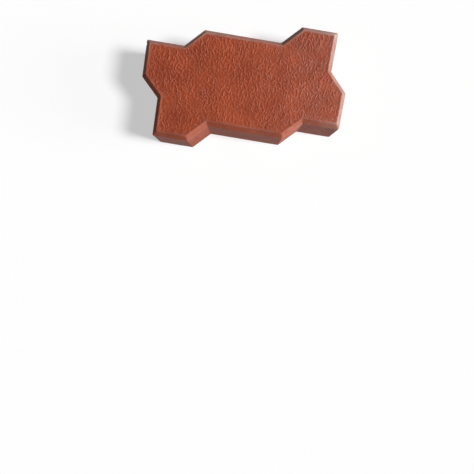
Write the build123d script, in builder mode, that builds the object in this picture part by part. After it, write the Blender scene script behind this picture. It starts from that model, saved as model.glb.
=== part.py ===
from build123d import *
import os
from math import asin, degrees, radians, sqrt, tan

# An interlocking paving stone, cast face down as one piece of pigmented concrete, in millimetres.
# It lies as laid: the bed face is on Z = 0, the wearing face is up and the length is along X.

# Share of the laying pattern that one stone covers, from middle to middle of its joints
laid_length = 225.0
laid_width = 112.5

# Each side steps out and back over 45 degree jogs, one jog to each square module of the pattern
jog_step = 21.0

# Cast body: the mould opens towards the bed, so the walls lean out from the face to the bed
thickness = 60.0
joint_at_bed = 1.2
draft_angle = 1.2

# Chamfer round the wearing face, in plan and down the wall
chamfer_width = 4.8
chamfer_height = 6.0

# Rounding of the mould's own corners and arrises, of the wearing face and of the struck-off bed
mould_radius = 1.6
face_edge_radius = 1.4
bed_edge_radius = 0.8


def side_corners(start, heading, length):
    """The corners passed along one side of the stone, from the corner at start to the next one."""
    modules = max(1, round(length / laid_width))
    module = length / modules
    # A module's side is a run, a jog at 45 degrees and a run, and ends level with where it starts
    run = (sqrt(module**2 - jog_step**2) - jog_step) / 2
    tilt = degrees(asin(jog_step / module))
    jog = Vector(jog_step, jog_step)
    legs = [Vector(run, 0)] + [jog, Vector(2 * run, 0)] * (modules - 1) + [jog, Vector(run, 0)]

    corners = [start]
    for leg in legs:
        corners.append(corners[-1] + leg.rotate(Axis.Z, heading - tilt))
    return corners[1:]


def laid_outline():
    """Corners of the stone's share of the pattern, clockwise from the top left, about its middle."""
    corners = [Vector(-laid_length / 2, laid_width / 2)]
    for quarter_turns, length in enumerate((laid_length, laid_width, laid_length, laid_width)):
        corners += side_corners(corners[-1], -90 * quarter_turns, length)
    return corners[:-1]


with BuildPart() as paving_stone:
    with BuildSketch():
        with BuildLine():
            Polyline(*laid_outline(), close=True)
        make_face()
    extrude(amount=thickness)

    # The walls of two neighbours lean towards each other and would meet this far below the bed
    meeting_depth = joint_at_bed / 2 / tan(radians(draft_angle))
    walls = paving_stone.faces().filter_by(Axis.Z, reverse=True)
    draft(walls, neutral_plane=Plane.XY.offset(-meeting_depth), angle=draft_angle)

    wearing_face = paving_stone.faces().sort_by(Axis.Z)[-1]
    chamfer(wearing_face.edges(), length=chamfer_width, length2=chamfer_height, reference=wearing_face)

    # Edges by height: between those of the bed and of the face come three groups
    wall_corners, arrises, mitres = paving_stone.edges().group_by(Axis.Z)[1:-1]
    fillet(wall_corners + arrises + mitres, radius=mould_radius)
    fillet(paving_stone.faces().sort_by(Axis.Z)[-1].edges(), radius=face_edge_radius)
    fillet(paving_stone.faces().sort_by(Axis.Z)[0].edges(), radius=bed_edge_radius)

paving_stone.part.label = "paving_stone"

os.makedirs("parts", exist_ok=True)
export_step(paving_stone.part, "parts/paving_stone.step")
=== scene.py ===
import math

import bpy
import numpy as np
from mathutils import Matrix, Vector
from mathutils.geometry import delaunay_2d_cdt
from mathutils.kdtree import KDTree


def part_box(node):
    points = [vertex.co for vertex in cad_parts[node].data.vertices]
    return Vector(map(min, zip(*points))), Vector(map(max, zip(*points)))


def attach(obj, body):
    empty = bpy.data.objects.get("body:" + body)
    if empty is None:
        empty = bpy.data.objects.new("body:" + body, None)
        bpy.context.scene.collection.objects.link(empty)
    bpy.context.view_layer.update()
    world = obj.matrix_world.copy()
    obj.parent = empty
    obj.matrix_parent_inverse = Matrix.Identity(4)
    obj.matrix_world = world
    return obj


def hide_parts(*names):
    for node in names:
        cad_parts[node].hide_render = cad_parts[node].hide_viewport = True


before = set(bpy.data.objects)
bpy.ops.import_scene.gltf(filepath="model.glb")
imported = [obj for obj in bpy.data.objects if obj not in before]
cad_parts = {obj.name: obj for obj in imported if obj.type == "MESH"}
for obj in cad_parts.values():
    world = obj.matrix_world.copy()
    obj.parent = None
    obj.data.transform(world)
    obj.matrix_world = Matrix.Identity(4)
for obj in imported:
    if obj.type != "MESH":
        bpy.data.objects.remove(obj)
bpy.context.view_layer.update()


# Camera: held over the stone's near side, looking almost straight down, so that the stone lies in
# the upper part of the frame as it does in the photograph.
MM = 0.001
camera = bpy.data.objects.new("camera", bpy.data.cameras.new("camera"))
camera.data.sensor_width = 36
camera.data.lens = 30.38
camera.data.clip_start = 10 * MM
camera.location = Vector((-8.4, -125.8, 539.3)) * MM
camera.rotation_euler = [math.radians(angle) for angle in (-6.25, 0.35, -1.44)]
bpy.context.collection.objects.link(camera)
bpy.context.scene.camera = camera
bpy.context.scene.view_settings.view_transform = "Standard"


# Paving stone: one piece of wet concrete with iron oxide red through its mass, vibrated face down
# in a plastic mould and struck off level at the bed. The mould gives it crisp straight walls, a
# smooth chamfer and a leather-grained wearing face.
LAID_LENGTH = 225 * MM
LAID_WIDTH = 112.5 * MM
JOG_STEP = 21 * MM
HALF_JOINT = 0.6 * MM
DRAFT = math.tan(math.radians(1.2))
CHAMFER_WIDTH = 4.8 * MM
CHAMFER_HEIGHT = 6 * MM
MOULD_RADIUS = 1.6 * MM
FACE_EDGE_RADIUS = 1.4 * MM
BED_EDGE_RADIUS = 0.8 * MM
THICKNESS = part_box("paving_stone")[1][2]

# The mesh is finest on the wearing face, where the grain is cut, and coarser on the walls and bed
FACE_MESH = 0.67 * MM
RIM_MESH = 1.15 * MM
WALL_MESH = 1.5 * MM
BED_MESH = 2.3 * MM
RIM_MARGIN = 0.7 * MM
ARC_STEPS = 4


def laid_corners():
    """Corners of the stone's share of the laying pattern, clockwise from the top left."""
    corner = np.array([-LAID_LENGTH / 2, LAID_WIDTH / 2])
    run = (math.sqrt(LAID_WIDTH**2 - JOG_STEP**2) - JOG_STEP) / 2
    tilt = math.asin(JOG_STEP / LAID_WIDTH)
    end_run, long_run, jog = (run, 0), (2 * run, 0), (JOG_STEP, JOG_STEP)
    long_side = (end_run, jog, long_run, jog, end_run)
    short_side = (end_run, jog, end_run)
    corners = []
    for quarter_turns, side in enumerate((long_side, short_side, long_side, short_side)):
        heading = -math.pi / 2 * quarter_turns - tilt
        along = np.array([math.cos(heading), math.sin(heading)])
        left = np.array([-along[1], along[0]])
        for forward, sideways in side:
            corners.append(corner)
            corner = corner + forward * along + sideways * left
    return np.array(corners)


def sides_of(corners):
    """The length of the side that follows each corner, and its unit direction."""
    sides = np.roll(corners, -1, axis=0) - corners
    lengths = np.linalg.norm(sides, axis=1)
    return lengths, sides / lengths[:, None]


def inset_corners(distance):
    """The corners after every side moves in by distance, with sharp mitres."""
    corners = laid_corners()
    leave = sides_of(corners)[1]
    come = np.roll(leave, 1, axis=0)
    inward = np.stack([leave[:, 1] + come[:, 1], -leave[:, 0] - come[:, 0]], axis=1)
    return corners + inward * distance / (1 + (leave * come).sum(axis=1))[:, None]


def ring_at(inset):
    """Points round the stone, always the same count: an arc at each corner and even side steps."""
    corners = inset_corners(inset)
    leave = sides_of(corners)[1]
    come = np.roll(leave, 1, axis=0)
    arcs = []
    for corner, before, after in zip(corners, come, leave):
        turn = math.atan2(before[0] * after[1] - before[1] * after[0], before @ after)
        radius = math.copysign(MOULD_RADIUS, turn)
        square_on = np.array([-before[1], before[0]])
        centre = corner - before * radius * math.tan(turn / 2) + square_on * radius
        angles = np.linspace(0, turn, ARC_STEPS + 1)[:, None]
        arcs.append(centre - radius * (np.cos(angles) * square_on - np.sin(angles) * before))
    points = []
    for arc, next_arc, side_length in zip(arcs, arcs[1:] + arcs[:1], sides_of(laid_corners())[0]):
        steps = round(side_length / RIM_MESH)
        shares = np.arange(1, steps)[:, None] / steps
        points += [arc, arc[-1] + (next_arc[0] - arc[-1]) * shares]
    return np.concatenate(points)


def even_steps(start, end, spacing):
    """Points from start, which is left out, to end, about as far apart as the spacing."""
    steps = max(1, round(np.linalg.norm(end - start) / spacing))
    return list(np.linspace(start, end, steps + 1)[1:])


def rounded_path(knots, radii, spacings):
    """Points along the runs between knots, with every knot between two runs rounded."""
    knots = np.array(knots)
    headings = np.diff(knots, axis=0)
    headings /= np.linalg.norm(headings, axis=1)[:, None]
    points = [knots[0]]
    for knot, come, leave, radius, spacing in zip(knots[1:], headings, headings[1:], radii, spacings):
        tangent = radius * math.tan(math.acos(come @ leave) / 2)
        arc_start, arc_end = knot - come * tangent, knot + leave * tangent
        points += even_steps(points[-1], arc_start, spacing)
        for share in np.arange(1, ARC_STEPS + 1) / ARC_STEPS:
            rest = 1 - share
            points.append(rest**2 * arc_start + 2 * rest * share * knot + share**2 * arc_end)
    points += even_steps(points[-1], knots[-1], spacings[-1])
    return np.array(points)


def lattice_inside(ring, spacing):
    """Even triangles over the inside of a ring: the points added to it and all the triangles."""
    edge_clearance = 0.75 * spacing
    tree = KDTree(len(ring))
    for number, point in enumerate(ring):
        tree.insert((*point, 0), number)
    tree.balance()
    low, high = ring.min(axis=0), ring.max(axis=0)
    row_step = spacing * math.sqrt(3) / 2
    lattice = []
    for row, y in enumerate(np.arange(low[1], high[1], row_step)):
        for x in np.arange(low[0] + spacing / 2 * (row % 2), high[0], spacing):
            *_, distance = tree.find((x, y, 0))
            if distance > edge_clearance:
                lattice.append((x, y))
    loop = [(number, (number + 1) % len(ring)) for number in range(len(ring))]
    inside_only = 1
    merge_distance = MM / 10000
    placed, _, triangles, *_ = delaunay_2d_cdt(
        [Vector(point) for point in (*ring, *lattice)], loop, [], inside_only, merge_distance
    )
    # Lattice points beyond the ring belong to no triangle and are dropped
    used = np.zeros(len(placed), dtype=bool)
    used[:len(ring)] = True
    used[np.ravel(triangles)] = True
    return np.array(placed)[used][len(ring):], (np.cumsum(used) - 1)[np.array(triangles)]


def at_height(plan, height):
    """Points given in plan, at one height."""
    return np.column_stack([plan, np.full(len(plan), height)])


# The section from the bed's edge to the face's: each point of it is an inset and a height
arris_height = THICKNESS - CHAMFER_HEIGHT
arris_inset = HALF_JOINT + arris_height * DRAFT
face_inset = HALF_JOINT + THICKNESS * DRAFT + CHAMFER_WIDTH
section = rounded_path(
    knots=[
        (HALF_JOINT + BED_EDGE_RADIUS + RIM_MARGIN, 0),
        (HALF_JOINT, 0),
        (arris_inset, arris_height),
        (face_inset, THICKNESS),
        (face_inset + FACE_EDGE_RADIUS + RIM_MARGIN, THICKNESS),
    ],
    radii=[BED_EDGE_RADIUS, MOULD_RADIUS, FACE_EDGE_RADIUS],
    spacings=[RIM_MARGIN, WALL_MESH, RIM_MESH, RIM_MARGIN],
)
rings = [ring_at(inset) for inset in section[:, 0]]
bed_points, bed_triangles = lattice_inside(rings[0], BED_MESH)
face_points, face_triangles = lattice_inside(rings[-1], FACE_MESH)
points = np.concatenate([
    *[at_height(ring, height) for ring, height in zip(rings, section[:, 1])],
    at_height(bed_points, 0),
    at_height(face_points, THICKNESS),
])

# Quads join each ring to the next, and a cap of triangles shares the first ring or the last
ring_size = len(rings[0])
bed_start = ring_size * len(rings)
face_start = bed_start + len(bed_points)
around = np.arange(ring_size)
ahead = (around + 1) % ring_size
quads = [
    np.column_stack([around, around + ring_size, ahead + ring_size, ahead]) + ring_start
    for ring_start in range(0, bed_start - ring_size, ring_size)
]
bed_numbers = np.concatenate([around, np.arange(bed_start, face_start)])
face_numbers = np.concatenate([around + bed_start - ring_size, np.arange(face_start, len(points))])
faces = [
    *np.concatenate(quads).tolist(),
    *bed_numbers[bed_triangles[:, ::-1]].tolist(),
    *face_numbers[face_triangles].tolist(),
]

stone_mesh = bpy.data.meshes.new("paving_stone_body")
stone_mesh.from_pydata(points.tolist(), [], faces)
stone = bpy.data.objects.new("paving_stone_body", stone_mesh)
bpy.context.collection.objects.link(stone)


def distance_inside(plan, corners):
    """How far each point in plan lies from the nearest side of the closed outline."""
    lengths, directions = sides_of(corners)
    nearest = np.full(len(plan), np.inf)
    for corner, length, direction in zip(corners, lengths, directions):
        along = np.clip((plan - corner) @ direction, 0, length)[:, None]
        nearest = np.minimum(nearest, np.linalg.norm(plan - corner - along * direction, axis=1))
    return nearest


# Where each point lies, for the relief and the colour: how far inside the wearing face or the bed,
# and how far from the nearer arris of the chamfer
FLUSH = MM / 1000
plan, heights = points[:, :2], points[:, 2]
face_inland = distance_inside(plan, inset_corners(face_inset)) * (heights > THICKNESS - FLUSH)
bed_inland = distance_inside(plan, inset_corners(HALF_JOINT)) * (heights < FLUSH)
arrises = np.array([(arris_inset, arris_height), (face_inset, THICKNESS)])
section_to_arris = np.linalg.norm(section[:, None] - arrises, axis=2).min(axis=1)
arris_distance = np.concatenate([
    np.repeat(section_to_arris, ring_size),
    np.full(len(bed_points), THICKNESS),
    face_inland[face_start:],
])
whereabouts = {"face_inland": face_inland, "bed_inland": bed_inland, "arris_distance": arris_distance}
for name, values in whereabouts.items():
    attribute = stone_mesh.attributes.new(name, "FLOAT", "POINT")
    attribute.data.foreach_set("value", values.astype(np.float32))


def add_node(tree, kind, inputs=(), **settings):
    """Adds a node with its settings, and gives each input its value or links it.

    A node among the inputs is linked by its first output, and a list links several to one input.
    """
    node = tree.nodes.new(kind)
    for name, value in settings.items():
        setattr(node, name, value)
    for name, value in dict(inputs).items():
        for source in value if isinstance(value, list) else [value]:
            if isinstance(source, bpy.types.Node):
                source = source.outputs[0]
            if isinstance(source, bpy.types.NodeSocket):
                tree.links.new(source, node.inputs[name])
            else:
                node.inputs[name].default_value = source
    return node


def linear(hex_colour):
    """An sRGB hex colour as linear RGBA."""
    channels = [int(hex_colour[start:start + 2], 16) / 255 for start in (1, 3, 5)]
    return (*[c / 12.92 if c <= 0.04045 else ((c + 0.055) / 1.055) ** 2.4 for c in channels], 1)


# Pigmented wet-cast concrete, cast against plastic. To the eye it is a matt brick red with slow
# shifts of tone and fine sand in it, closer and a little smoother on the chamfer and the walls,
# with a thin pale lime bloom and a painted sheen that grows towards the right end, where the
# light comes from.
DARK_RED = "#7c311b"
PALE_RED = "#be5836"
LIME_BLOOM_AND_SHEEN = "#c8bcb4"
DRY_BED = "#b08674"
MOTTLE_SIZE = 32 * MM
BLOOM_PATCH = 9 * MM
SAND_GRAIN = 1.1 * MM
PINHOLE_SPACING = 5 * MM
PINHOLE_FLOOR = 0.35 * MM
PINHOLE_RIM = 0.65 * MM
EDGE_BLEND = 2 * MM
GRAINED_ROUGHNESS = 0.85
MOULDED_ROUGHNESS = 0.6

# Most of a noise lies between these
NOISE_LOW, NOISE_HIGH = 0.35, 0.65

# A Mix node's own numbers for the sockets of its two colours and of the mixed one
FIRST, SECOND, MIXED = 6, 7, 2

concrete = bpy.data.materials.new("pigmented_wet_cast_concrete")
concrete.use_nodes = True
shader = concrete.node_tree
shader.nodes.clear()
on_stone = add_node(shader, "ShaderNodeTexCoord").outputs
place = on_stone["Object"]
across, away, height_seen = add_node(shader, "ShaderNodeSeparateXYZ", {0: place}).outputs
facing_right = add_node(shader, "ShaderNodeSeparateXYZ", {0: on_stone["Normal"]}).outputs["X"]
ridge_seen, pore_seen, inland_seen, bed_seen, arris_seen = [
    add_node(shader, "ShaderNodeAttribute", attribute_name=name).outputs["Fac"]
    for name in ("ridge", "pore", "face_inland", "bed_inland", "arris_distance")
]

# Slow shifts of tone, 20 to 50 mm across, from uneven drying
mottle = add_node(shader, "ShaderNodeTexNoise", {"Vector": place, "Scale": 1 / MOTTLE_SIZE, "Detail": 3})
mottled = add_node(
    shader, "ShaderNodeMix", {0: mottle, FIRST: linear(DARK_RED), SECOND: linear(PALE_RED)},
    data_type="RGBA",
).outputs[MIXED]


def bloom_and_sheen_over(rows):
    """How much lime bloom and painted sheen show: a row holds what it follows, two places on that and the
    share at each.
    """
    share = 0
    for follows, start, end, at_start, at_end in rows:
        film = add_node(
            shader, "ShaderNodeMapRange",
            {"Value": follows, "From Min": start, "From Max": end, "To Min": at_start, "To Max": at_end},
            interpolation_type="SMOOTHSTEP",
        )
        share = add_node(shader, "ShaderNodeMath", {0: share, 1: film}, operation="ADD")
    return share


# Lime bloom and painted sheen: a thin pale film along the edge of the face and along the arrises,
# and a painted sheen that grows towards the right end, where the light comes from
bloom_and_sheen = bloom_and_sheen_over([
    # painted sheen: paler towards the right end, where the light comes from
    (across, -20 * MM, 115 * MM, 0.01, 0.07),
    (inland_seen, 0, 6 * MM, 0.03, 0),
    (arris_seen, 0, 1.8 * MM, 0.05, 0),
])
# The chamfer is painted paler still, a painted sheen in place of the gloss it catches: most at the
# right end and where it faces right, towards the light, and on the far side, and that runs a little
# way down the wall
chamfer_sheen = bloom_and_sheen_over([
    (across, 85 * MM, 112 * MM, 0.02, 0.25),
    (away, 30 * MM, 55 * MM, 0, 0.23),
    # painted sheen where the chamfer faces the light
    (facing_right, 0.2, 0.6, 0, 0.08),
])
above_wall = add_node(
    shader, "ShaderNodeMapRange",
    {"Value": height_seen, "From Min": arris_height - 9 * MM, "From Max": arris_height + 2 * MM},
    interpolation_type="SMOOTHSTEP",
)
off_face = add_node(
    shader, "ShaderNodeMapRange", {"Value": inland_seen, "From Min": EDGE_BLEND, "From Max": 0},
)
on_chamfer = add_node(shader, "ShaderNodeMath", {0: above_wall, 1: off_face}, operation="MULTIPLY")
bloom_and_sheen = add_node(
    shader, "ShaderNodeMath", {0: on_chamfer, 1: chamfer_sheen, 2: bloom_and_sheen}, operation="MULTIPLY_ADD",
)
# The crests of the grain's ridges are painted a little paler: a painted highlight where they catch the light,
# and a little rubbing
CREST_WEAR_AND_HIGHLIGHT = 0.08
bloom_and_sheen = add_node(
    shader, "ShaderNodeMath", {0: ridge_seen, 1: CREST_WEAR_AND_HIGHLIGHT, 2: bloom_and_sheen}, operation="MULTIPLY_ADD",
)
patches = add_node(shader, "ShaderNodeTexNoise", {"Vector": place, "Scale": 1 / BLOOM_PATCH, "Detail": 4})
patchy = add_node(
    shader, "ShaderNodeMapRange",
    {"Value": patches, "From Min": NOISE_LOW, "From Max": NOISE_HIGH, "To Min": 0.7, "To Max": 1.3},
)
bloom_and_sheen = add_node(shader, "ShaderNodeMath", {0: bloom_and_sheen, 1: patchy}, operation="MULTIPLY")
bloomed_and_sheened = add_node(
    shader, "ShaderNodeMix", {0: bloom_and_sheen, FIRST: mottled, SECOND: linear(LIME_BLOOM_AND_SHEEN)}, data_type="RGBA",
).outputs[MIXED]

# The bed was never against the mould: its open sandy surface dries paler
bedded = add_node(
    shader, "ShaderNodeMapRange",
    {"Value": bed_seen, "From Min": 0, "From Max": EDGE_BLEND, "To Min": 0, "To Max": 0.3},
)
coloured = add_node(
    shader, "ShaderNodeMix", {0: bedded, FIRST: bloomed_and_sheened, SECOND: linear(DRY_BED)}, data_type="RGBA",
).outputs[MIXED]

# Real sand grains are 0.2 to 1 mm; they are drawn at about 1 mm so that they show
sand = add_node(
    shader, "ShaderNodeTexNoise", {"Vector": place, "Scale": 1 / SAND_GRAIN, "Detail": 3, "Roughness": 0.6},
)

# Pinholes on the walls, about 1 mm across and too fine for the mesh
pinhole_cells = add_node(
    shader, "ShaderNodeTexVoronoi", {"Vector": place, "Scale": 1 / PINHOLE_SPACING}, feature="F1",
)
pinhole = add_node(
    shader, "ShaderNodeMapRange",
    {
        "Value": pinhole_cells,
        "From Min": PINHOLE_RIM / PINHOLE_SPACING,
        "From Max": PINHOLE_FLOOR / PINHOLE_SPACING,
    },
)
below_arris = add_node(
    shader, "ShaderNodeMapRange",
    {"Value": height_seen, "From Min": arris_height + MM, "From Max": arris_height - MM},
)
pinhole = add_node(shader, "ShaderNodeMath", {0: pinhole, 1: below_arris}, operation="MULTIPLY")

# Tone, as rows of what it follows, two places on that and the tone at each: pale and dark grains of
# sand, painted shade on the left end, away from the light, a painted highlight on the ridges and
# painted shade between them, and painted shade in the two kinds of hole
tone = 1
for follows, start, end, at_start, at_end in (
    (sand, 0.35, 0.75, 0.83, 1.35),
    # painted shade: darker at the left end, away from the light
    (across, -110 * MM, 70 * MM, 0.86, 1),
    # painted highlight on the ridges and painted shade between them
    (ridge_seen, 0, 1, 0.93, 1.22),
    # painted shade in the pores and pinholes
    (pore_seen, 0, 1, 1, 0.45),
    (pinhole, 0, 1, 1, 0.55),
):
    layer = add_node(
        shader, "ShaderNodeMapRange",
        {"Value": follows, "From Min": start, "From Max": end, "To Min": at_start, "To Max": at_end},
    )
    tone = add_node(shader, "ShaderNodeMath", {0: tone, 1: layer}, operation="MULTIPLY")
toned = add_node(shader, "ShaderNodeVectorMath", {0: coloured, "Scale": tone}, operation="SCALE")

# The grained face scatters light more than the chamfer and the walls do
roughness = add_node(
    shader, "ShaderNodeMapRange",
    {
        "Value": inland_seen,
        "From Min": 0,
        "From Max": EDGE_BLEND,
        "To Min": MOULDED_ROUGHNESS,
        "To Max": GRAINED_ROUGHNESS,
    },
)
# Relief too fine or too steep for the mesh, in metres: sand, pinholes and the ridges' crisp edges
fine_relief = 0
for shape, height in ((sand, 0.06 * MM), (pinhole, -0.15 * MM), (ridge_seen, 0.26 * MM)):
    fine_relief = add_node(
        shader, "ShaderNodeMath", {0: shape, 1: height, 2: fine_relief}, operation="MULTIPLY_ADD",
    )
fine_bump = add_node(shader, "ShaderNodeBump", {"Height": fine_relief, "Distance": 1})
# The IOR is that of mineral grains, and the open, dusty skin takes most of the gloss away
surface = add_node(
    shader, "ShaderNodeBsdfPrincipled",
    {
        "Base Color": toned,
        "Roughness": roughness,
        "IOR": 1.5,
        "Specular IOR Level": 0.12,
        "Normal": fine_bump,
    },
)
add_node(shader, "ShaderNodeOutputMaterial", {"Surface": surface})


# Relief of the cast surface: short raised ridges that the grained mould leaves on the wearing face,
# slight waves and air pores in the walls and the open texture of the struck-off bed. The grained
# field is sunk by the height of its ridges, so that all of it lies inside the stone's outer size.
relief = bpy.data.node_groups.new("Cast surface relief", "GeometryNodeTree")
relief.is_modifier = True
relief.interface.new_socket("Geometry", in_out="OUTPUT", socket_type="NodeSocketGeometry")
relief.interface.new_socket("Geometry", in_out="INPUT", socket_type="NodeSocketGeometry")
RELIEF_SEED = 7
RELIEF_SIZES = {
    "Ridge spacing": 2.9 * MM,
    "Ridge length": 6.2 * MM,
    "Ridge width": 2.1 * MM,
    "Ridge height": 0.65 * MM,
    "Ridge wander": 1.5 * MM,
    "Wander length": 3.5 * MM,
    "Trail step": 0.4 * MM,
    "Smooth margin": 0.4 * MM,
    "Margin slope": 2.2 * MM,
    "Faint patch": 22 * MM,
    "Pore spacing": 12 * MM,
    "Pore width": 3.4 * MM,
    "Pore depth": 1.1 * MM,
    "Wall wave": 28 * MM,
    "Wall unevenness": 0.15 * MM,
    "Bed texture": 7 * MM,
    "Bed margin": 1 * MM,
    "Bed slope": 4 * MM,
    "Bed roughness": 0.9 * MM,
}
identifiers = {
    name: relief.interface.new_socket(name, in_out="INPUT", socket_type="NodeSocketFloat").identifier
    for name in RELIEF_SIZES
}
seed_socket = relief.interface.new_socket("Seed", in_out="INPUT", socket_type="NodeSocketInt")
identifiers["Seed"] = seed_socket.identifier
given = add_node(relief, "NodeGroupInput").outputs
body = given["Geometry"]
position = add_node(relief, "GeometryNodeInputPosition")
normal = add_node(relief, "GeometryNodeInputNormal")
inside_face, inside_bed, strength, rise, bubble, ridge_cut, pore_cut = [
    add_node(relief, "GeometryNodeInputNamedAttribute", {"Name": name})
    for name in ("face_inland", "bed_inland", "strength", "rise", "bubble", "ridge", "pore")
]

# A noise's scale is one over the size of its waves
wander_scale, patch_scale, wave_scale, texture_scale = [
    add_node(relief, "ShaderNodeMath", {0: 1, 1: given[name]}, operation="DIVIDE")
    for name in ("Wander length", "Faint patch", "Wall wave", "Bed texture")
]

# A Random Value node's own numbers for the sockets of a plain number's limits and of its result
LEAST, MOST, DRAWN = 2, 3, 1


def scatter(chosen, apart, density, name, least, seed):
    """Points over the chosen part of the stone, each with a share from least to 1 under the name."""
    scattered = add_node(
        relief, "GeometryNodeDistributePointsOnFaces",
        {
            "Mesh": body,
            "Selection": chosen,
            "Distance Min": apart,
            "Density Max": density,
            "Seed": given["Seed"],
        },
        distribute_method="POISSON",
    )
    share = add_node(
        relief, "FunctionNodeRandomValue", {LEAST: least, MOST: 1, "Seed": seed}, data_type="FLOAT",
    )
    return add_node(
        relief, "GeometryNodeStoreNamedAttribute",
        {"Geometry": scattered, "Name": name, "Value": share.outputs[DRAWN]},
        data_type="FLOAT", domain="POINT",
    )


def nearest_of(scattered, held):
    """From each point of the stone, the distance to the nearest scattered one and what that holds."""
    nearest = add_node(relief, "GeometryNodeSampleNearest", {"Geometry": scattered})
    there, holds = [
        add_node(
            relief, "GeometryNodeSampleIndex", {"Geometry": scattered, "Value": value, "Index": nearest},
            data_type=data_type,
        )
        for value, data_type in ((position, "FLOAT_VECTOR"), (held, "FLOAT"))
    ]
    gap = add_node(relief, "ShaderNodeVectorMath", {0: position, 1: there}, operation="DISTANCE")
    return gap.outputs["Value"], holds


def field_inside(edge_distance, margin, slope):
    """0 on a margin along an edge, then up a slope to 1."""
    slope_end = add_node(relief, "ShaderNodeMath", {0: given[margin], 1: given[slope]}, operation="ADD")
    return add_node(
        relief, "ShaderNodeMapRange",
        {"Value": edge_distance, "From Min": given[margin], "From Max": slope_end},
    )


# Strokes bent in four ways are scattered over the face, each turned to run more or less across the
# stone, and are crowded enough for the spacing alone to set how many there are
on_face = add_node(
    relief, "FunctionNodeCompare", {0: inside_face, 1: given["Smooth margin"]},
    data_type="FLOAT", operation="GREATER_THAN",
)
crowding = add_node(relief, "ShaderNodeMath", {0: 2, 1: given["Ridge spacing"]}, operation="DIVIDE")
crowding = add_node(relief, "ShaderNodeMath", {0: crowding, 1: 2}, operation="POWER")
seeds = scatter(on_face, given["Ridge spacing"], crowding, "strength", least=0.35, seed=3)
STROKES = (
    ((-0.5, 0, 0), (0, 0.3, 0), (0.5, 0, 0)),
    ((-0.5, 0.1, 0), (0.1, -0.25, 0), (0.4, 0.2, 0)),
    ((-0.3, -0.2, 0), (0.45, -0.1, 0), (0.1, 0.35, 0)),
    ((-0.4, 0.05, 0), (0, -0.05, 0), (0.45, 0.02, 0)),
)
bends = [
    add_node(
        relief, "GeometryNodeCurveQuadraticBezier",
        {"Resolution": 12, "Start": start, "Middle": middle, "End": end},
    )
    for start, middle, end in STROKES
]
turn = add_node(
    relief, "FunctionNodeRandomValue",
    {"Min": (0, 0, math.radians(45)), "Max": (0, 0, math.radians(135)), "Seed": 1},
    data_type="FLOAT_VECTOR",
)
size_share = add_node(
    relief, "FunctionNodeRandomValue", {LEAST: 0.6, MOST: 1.5, "Seed": 2}, data_type="FLOAT",
)
stroke_size = add_node(
    relief, "ShaderNodeMath", {0: size_share.outputs[DRAWN], 1: given["Ridge length"]}, operation="MULTIPLY",
)
strokes = add_node(
    relief, "GeometryNodeInstanceOnPoints",
    {
        "Points": seeds,
        "Instance": add_node(relief, "GeometryNodeGeometryToInstance", {0: bends}),
        "Pick Instance": True,
        "Rotation": turn,
        "Scale": stroke_size,
    },
)
strokes = add_node(relief, "GeometryNodeRealizeInstances", {0: strokes})
strokes = add_node(
    relief, "GeometryNodeResampleCurve", {"Curve": strokes, "Length": given["Trail step"]}, mode="LENGTH",
)

# A ridge is highest along its middle and runs out from its shoulders to its ends, as shares of its
# length from the middle
SHOULDER, END = 0.2, 0.5
along = add_node(relief, "GeometryNodeSplineParameter").outputs["Factor"]
from_middle = add_node(relief, "ShaderNodeMath", {0: along, 1: 0.5}, operation="SUBTRACT")
from_middle = add_node(relief, "ShaderNodeMath", {0: from_middle}, operation="ABSOLUTE")
fade = add_node(
    relief, "ShaderNodeMapRange", {"Value": from_middle, "From Min": END, "From Max": SHOULDER},
    interpolation_type="SMOOTHSTEP",
)
stroke_rise = add_node(relief, "ShaderNodeMath", {0: fade, 1: strength}, operation="MULTIPLY")
strokes = add_node(
    relief, "GeometryNodeStoreNamedAttribute", {"Geometry": strokes, "Name": "rise", "Value": stroke_rise},
    data_type="FLOAT", domain="POINT",
)
# It wanders to either side as it goes, but not up or down
wander = add_node(
    relief, "ShaderNodeTexNoise", {"Vector": position, "Scale": wander_scale, "Detail": 1},
).outputs["Color"]
wander = add_node(
    relief, "ShaderNodeVectorMath", {0: wander, 1: (1, 1, 0), 2: (-0.5, -0.5, 0)}, operation="MULTIPLY_ADD",
)
wander = add_node(
    relief, "ShaderNodeVectorMath", {0: wander, "Scale": given["Ridge wander"]}, operation="SCALE",
)
strokes = add_node(relief, "GeometryNodeSetPosition", {"Geometry": strokes, "Offset": wander})
trail = add_node(relief, "GeometryNodeCurveToPoints", {"Curve": strokes}, mode="EVALUATED")

# Each point of the face looks for the nearest stroke and rises by that stroke's flat-topped section
stroke_gap, nearest_rise = nearest_of(trail, rise)
half_width = add_node(relief, "ShaderNodeMath", {0: given["Ridge width"], 1: 0.5}, operation="MULTIPLY")
CREST_SHARE = 0.35
half_crest = add_node(relief, "ShaderNodeMath", {0: half_width, 1: CREST_SHARE}, operation="MULTIPLY")
ridge = add_node(
    relief, "ShaderNodeMapRange", {"Value": stroke_gap, "From Min": half_width, "From Max": half_crest},
    interpolation_type="SMOOTHSTEP",
)
grained = field_inside(inside_face, "Smooth margin", "Margin slope")
# The grain is fainter in some patches, as in the mould
patch = add_node(relief, "ShaderNodeTexNoise", {"Vector": position, "Scale": patch_scale, "Detail": 1})
patch = add_node(
    relief, "ShaderNodeMapRange",
    {"Value": patch, "From Min": NOISE_LOW, "From Max": NOISE_HIGH, "To Min": 0.65, "To Max": 1},
)
for factor in (nearest_rise, grained, patch):
    ridge = add_node(relief, "ShaderNodeMath", {0: ridge, 1: factor}, operation="MULTIPLY")
body = add_node(
    relief, "GeometryNodeStoreNamedAttribute", {"Geometry": body, "Name": "ridge", "Value": ridge},
    data_type="FLOAT", domain="POINT",
)

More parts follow.
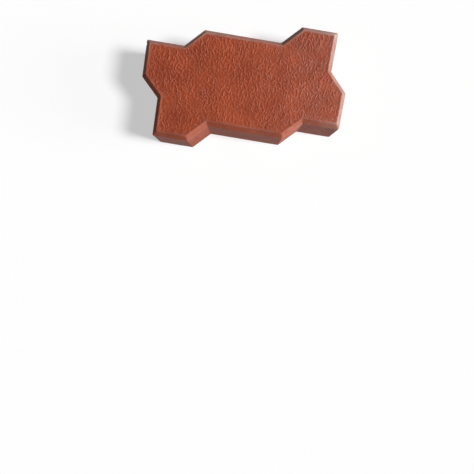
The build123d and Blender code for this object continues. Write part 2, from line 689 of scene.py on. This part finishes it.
# Pores stand where air bubbles were held against the mould's walls: where the surface faces up or
# down by less than this share
WALL_SLOPE = 0.3
upwards = add_node(relief, "ShaderNodeSeparateXYZ", {0: normal}).outputs["Z"]
on_wall = add_node(
    relief, "FunctionNodeCompare", {0: upwards, 1: 0, "Epsilon": WALL_SLOPE},
    data_type="FLOAT", operation="EQUAL",
)
pore_density = add_node(relief, "ShaderNodeMath", {0: given["Pore spacing"], 1: -2}, operation="POWER")
bubbles = scatter(on_wall, given["Pore width"], pore_density, "bubble", least=0.4, seed=4)
bubble_gap, bubble_size = nearest_of(bubbles, bubble)
pore_reach = add_node(relief, "ShaderNodeMath", {0: given["Pore width"], 1: 0.5}, operation="MULTIPLY")
pore_reach = add_node(relief, "ShaderNodeMath", {0: pore_reach, 1: bubble_size}, operation="MULTIPLY")
pore = add_node(
    relief, "ShaderNodeMapRange", {"Value": bubble_gap, "From Min": pore_reach, "From Max": 0},
    interpolation_type="SMOOTHSTEP",
)
pore = add_node(relief, "ShaderNodeMath", {0: pore, 1: bubble_size}, operation="MULTIPLY")
body = add_node(
    relief, "GeometryNodeStoreNamedAttribute", {"Geometry": body, "Name": "pore", "Value": pore},
    data_type="FLOAT", domain="POINT",
)

# The walls wave slightly, and the bed is rough inside its edge
wave = add_node(relief, "ShaderNodeTexNoise", {"Vector": position, "Scale": wave_scale, "Detail": 2})
levelness = add_node(relief, "ShaderNodeMath", {0: upwards}, operation="ABSOLUTE")
off_level = add_node(relief, "ShaderNodeMapRange", {"Value": levelness, "From Min": 1, "From Max": 0.9})
wave = add_node(relief, "ShaderNodeMath", {0: wave, 1: off_level}, operation="MULTIPLY")
rough = add_node(
    relief, "ShaderNodeTexNoise",
    {"Vector": position, "Scale": texture_scale, "Detail": 4, "Roughness": 0.6},
)
rough = add_node(relief, "ShaderNodeMapRange", {"Value": rough, "From Min": 0.45, "From Max": 0.75})
on_bed = field_inside(inside_bed, "Bed margin", "Bed slope")
rough = add_node(relief, "ShaderNodeMath", {0: rough, 1: on_bed}, operation="MULTIPLY")

# The depth of all of it at a point, in metres: the face is cut down between its ridges
between_ridges = add_node(relief, "ShaderNodeMath", {0: grained, 1: ridge_cut}, operation="SUBTRACT")
depth = 0
for shape, size in (
    (between_ridges, "Ridge height"),
    (pore_cut, "Pore depth"),
    (wave, "Wall unevenness"),
    (rough, "Bed roughness"),
):
    depth = add_node(relief, "ShaderNodeMath", {0: shape, 1: given[size], 2: depth}, operation="MULTIPLY_ADD")
inwards = add_node(relief, "ShaderNodeMath", {0: depth, 1: -1}, operation="MULTIPLY")
offset = add_node(relief, "ShaderNodeVectorMath", {0: normal, "Scale": inwards}, operation="SCALE")
body = add_node(relief, "GeometryNodeSetPosition", {"Geometry": body, "Offset": offset})
body = add_node(relief, "GeometryNodeSetShadeSmooth", {"Geometry": body})
body = add_node(relief, "GeometryNodeRealizeInstances", {0: body})
body = add_node(relief, "GeometryNodeSetMaterial", {"Geometry": body, "Material": concrete})
add_node(relief, "NodeGroupOutput", {0: body})

modifier = stone.modifiers.new("Cast surface relief", "NODES")
modifier.node_group = relief
for name, value in {**RELIEF_SIZES, "Seed": RELIEF_SEED}.items():
    modifier[identifiers[name]] = value
stone_evaluated = stone.evaluated_get(bpy.context.evaluated_depsgraph_get())
finished_mesh = bpy.data.meshes.new_from_object(stone_evaluated)
stone.modifiers.clear()
stone.data = finished_mesh
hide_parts("paving_stone")
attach(stone, "root")


# Floor: a sheet of matt white paper that the stone lies on. What the camera sees of it is half lit
# and half glowing, so that the stone's shadow stays on it but light, and it throws no more light
# back at the stone than pale grey paper would.
FLOOR_REACH = 20
GLOW_SHARE = 0.5
# A little over 1, so that the lit half and the glow come to the white of the surround
GLOW_STRENGTH = 1.05
SEEN_PAPER = "#fdfdfd"
BOUNCING_PAPER = "#c4c4c4"
floor_mesh = bpy.data.meshes.new("floor")
floor_corners = [(x * FLOOR_REACH, y * FLOOR_REACH, 0) for x, y in ((-1, -1), (1, -1), (1, 1), (-1, 1))]
floor_mesh.from_pydata(floor_corners, [], [(0, 1, 2, 3)])
floor = bpy.data.objects.new("floor", floor_mesh)
bpy.context.collection.objects.link(floor)


def seen_rays(tree):
    """1 where the camera looks, directly, by a reflection or through glass, and 0 elsewhere."""
    rays = add_node(tree, "ShaderNodeLightPath").outputs
    seen = rays["Is Camera Ray"]
    for other in ("Is Glossy Ray", "Is Transmission Ray"):
        seen = add_node(tree, "ShaderNodeMath", {0: seen, 1: rays[other]}, operation="MAXIMUM")
    return seen


paper = bpy.data.materials.new("matt_white_paper")
paper.use_nodes = True
paper_tree = paper.node_tree
paper_tree.nodes.clear()
seen = seen_rays(paper_tree)
paper_colour = add_node(
    paper_tree, "ShaderNodeMix", {0: seen, FIRST: linear(BOUNCING_PAPER), SECOND: linear(SEEN_PAPER)},
    data_type="RGBA",
).outputs[MIXED]
lit = add_node(paper_tree, "ShaderNodeBsdfDiffuse", {"Color": paper_colour})
glow = add_node(paper_tree, "ShaderNodeEmission", {"Color": (1, 1, 1, 1), "Strength": GLOW_STRENGTH})
glow_share = add_node(paper_tree, "ShaderNodeMath", {0: seen, 1: GLOW_SHARE}, operation="MULTIPLY")
paper_surface = add_node(paper_tree, "ShaderNodeMixShader", {0: glow_share, 1: lit, 2: glow})
add_node(paper_tree, "ShaderNodeOutputMaterial", {"Surface": paper_surface})
floor_mesh.materials.append(paper)


# Light: a tall soft window to the right, as two distant lamps, and a weak fill from all round. The
# camera sees the surround as white.
def add_lamp(name, azimuth, elevation, strength, softness):
    """A distant soft lamp, placed by where its light comes from; the angles are in degrees."""
    lamp = bpy.data.objects.new(name, bpy.data.lights.new(name, "SUN"))
    lamp.data.energy = strength
    lamp.data.angle = math.radians(softness)
    lamp.rotation_euler = (0, math.radians(90 - elevation), math.radians(azimuth))
    bpy.context.collection.objects.link(lamp)


add_lamp("window", azimuth=-12, elevation=46, strength=3.7, softness=14)
add_lamp("window_foot", azimuth=-8, elevation=14, strength=1.05, softness=25)

FILL_STRENGTH = 0.02
world = bpy.data.worlds.new("studio")
world.use_nodes = True
world_tree = world.node_tree
world_tree.nodes.clear()
fill, white = [
    add_node(world_tree, "ShaderNodeBackground", {"Color": (1, 1, 1, 1), "Strength": strength})
    for strength in (FILL_STRENGTH, 1)
]
surround = add_node(world_tree, "ShaderNodeMixShader", {0: seen_rays(world_tree), 1: fill, 2: white})
add_node(world_tree, "ShaderNodeOutputWorld", {"Surface": surround})
bpy.context.scene.world = world
